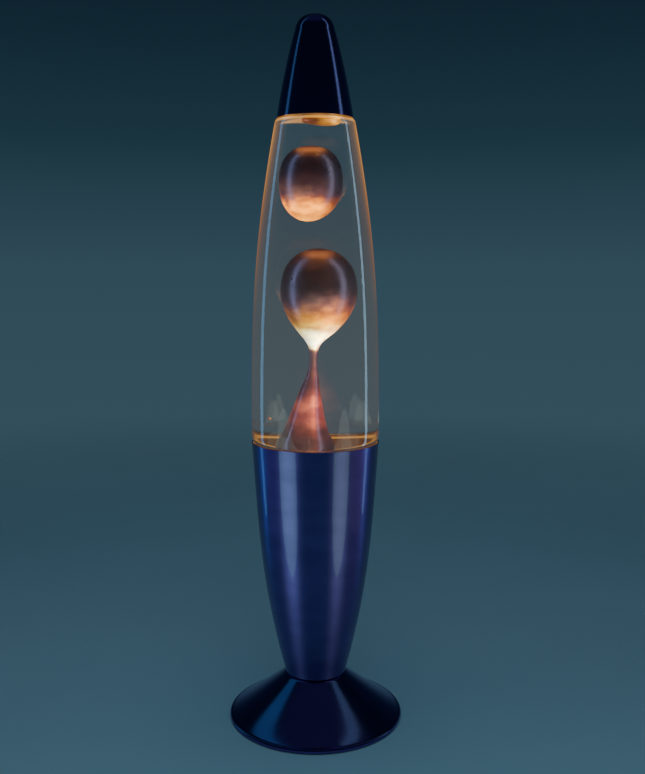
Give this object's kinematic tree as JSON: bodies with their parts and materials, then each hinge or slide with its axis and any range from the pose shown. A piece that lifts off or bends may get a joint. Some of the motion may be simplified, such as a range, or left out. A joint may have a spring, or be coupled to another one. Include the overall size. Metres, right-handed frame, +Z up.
{
  "type": "lava lamp",
  "caption": "Slim bullet-shaped lava lamp: a domed cap, a clear liquid-filled bottle with rising wax, a tall tapered metal cup holding a reflector bulb, and a flared conical foot.",
  "frame": {"origin": "centre of the resting plane, on the lamp's axis, at the underside of the rubber pads", "axes": "+Z up along the lamp's axis, +Y towards the cord bushing at the back, +X to the right as seen from the front"},
  "size_m": [0.1016, 0.1016, 0.4],
  "materials": {
    "navy_lacquer": "gloss",
    "blue_satin_lacquer": "satin",
    "black_painted_steel": "satin",
    "rubber": "matte",
    "zinc_steel": "satin",
    "holder_plastic": "satin",
    "brass": "satin",
    "lead_insulation": "satin",
    "bulb_insulator": "gloss",
    "bulb_glass": "satin",
    "tungsten": "satin",
    "bottle_glass": "polished",
    "crown_metal": "satin",
    "crown_liner": "matte",
    "liquid": "polished",
    "wax": "satin"
  },
  "bodies": {
    "root": {"foot_shell": "navy_lacquer", "base_plate": "black_painted_steel", "rubber_pad_1": "rubber", "rubber_pad_2": "rubber", "rubber_pad_3": "rubber", "rubber_pad_4": "rubber", "cord_bushing": "rubber", "threaded_tube": "zinc_steel", "base_nut": "zinc_steel", "foot_washer": "zinc_steel", "foot_nut": "zinc_steel", "lamp_cup": "blue_satin_lacquer", "cup_washer": "zinc_steel", "cup_nut": "zinc_steel", "holder_base": "holder_plastic", "holder_barrel": "holder_plastic", "contact_block": "holder_plastic", "holder_screw_sleeve": "brass", "centre_contact": "brass", "holder_terminal_1": "brass", "holder_terminal_2": "brass", "terminal_block": "holder_plastic", "block_screw_1": "brass", "block_screw_2": "brass", "holder_lead_1": "lead_insulation", "holder_lead_2": "lead_insulation"},
    "bulb_base": {"bulb_tip": "brass", "bulb_insulator": "bulb_insulator"},
    "bulb": {"bulb_screw_cap": "brass", "bulb_envelope": "bulb_glass", "bulb_stem": "bulb_glass", "bulb_filament": "tungsten"},
    "bottle": {"bottle": "bottle_glass", "crown_closure": "crown_metal", "crown_seal": "crown_liner", "liquid": "liquid", "wax_pool": "wax", "wax_neck": "wax", "surface_coil": "zinc_steel"},
    "wax_drop": {"wax_drop": "wax"},
    "wax_blob": {"wax_blob": "wax"},
    "cap": {"cap_shell": "navy_lacquer"}
  },
  "joints": [
    {"name": "bulb_rise", "type": "slide", "parent": "root", "child": "bulb_base", "axis": [0, 0, 1], "range_m": [0, 0.0086]},
    {"name": "bulb_turn", "type": "hinge", "parent": "bulb_base", "child": "bulb", "pos_m": [0, 0, 0.0765], "axis": [0, 0, 1], "range_deg": [0, 1080]},
    {"name": "bottle_lift", "type": "slide", "parent": "root", "child": "bottle", "axis": [0, 0, 1], "range_m": [0, 0.06]},
    {"name": "cap_lift", "type": "slide", "parent": "bottle", "child": "cap", "axis": [0, 0, 1], "range_m": [0, 0.06]},
    {"name": "wax_drop_rise", "type": "slide", "parent": "bottle", "child": "wax_drop", "axis": [0, 0, 1], "range_m": [0, 0.005], "deforming": ["wax_neck"]},
    {"name": "wax_blob_drift", "type": "slide", "parent": "bottle", "child": "wax_blob", "axis": [0, 0, 1], "range_m": [-0.008, 0.009]}
  ],
  "couplings": [
    {"joint": "bulb_rise", "follows": "bulb_turn", "m_per_rad": 0.00044882}
  ]
}
